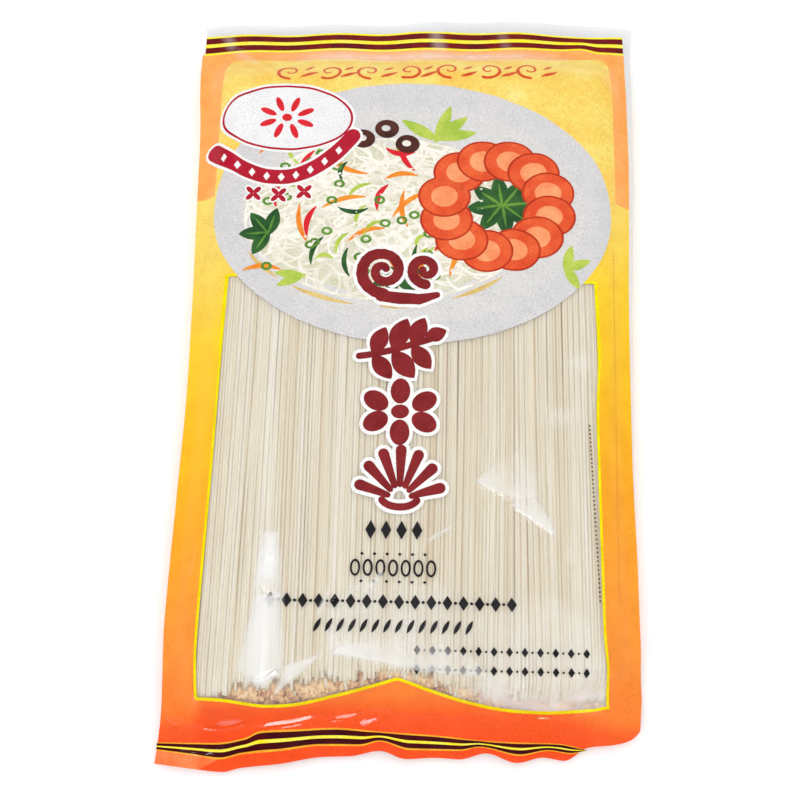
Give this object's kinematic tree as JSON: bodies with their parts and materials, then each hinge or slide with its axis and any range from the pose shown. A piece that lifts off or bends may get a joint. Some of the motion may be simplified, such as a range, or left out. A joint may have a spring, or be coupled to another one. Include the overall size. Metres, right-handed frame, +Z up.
{
  "type": "pack of dried rice vermicelli",
  "caption": "Sealed flat pillow pack of clear printed film, full of straight dried rice noodles, lying on its back.",
  "frame": {"origin": "middle of the bounding box's bottom face, on the surface that the pack lies on", "axes": "+Y along the pack towards its top seal, +X across it to the right as the front is read, +Z up out of the printed front"},
  "size_m": [0.175, 0.294, 0.0179],
  "materials": {
    "film": "thin clear glossy film with a few sharp creases and soft white reflections",
    "print": "printed ink under glossy film, yellow to red-orange fields with maroon and yellow stripes",
    "noodles": "dry, slightly translucent cream-white rice noodle"
  },
  "bodies": {
    "root": {"noodle_pack": "film"}
  },
  "joints": []
}
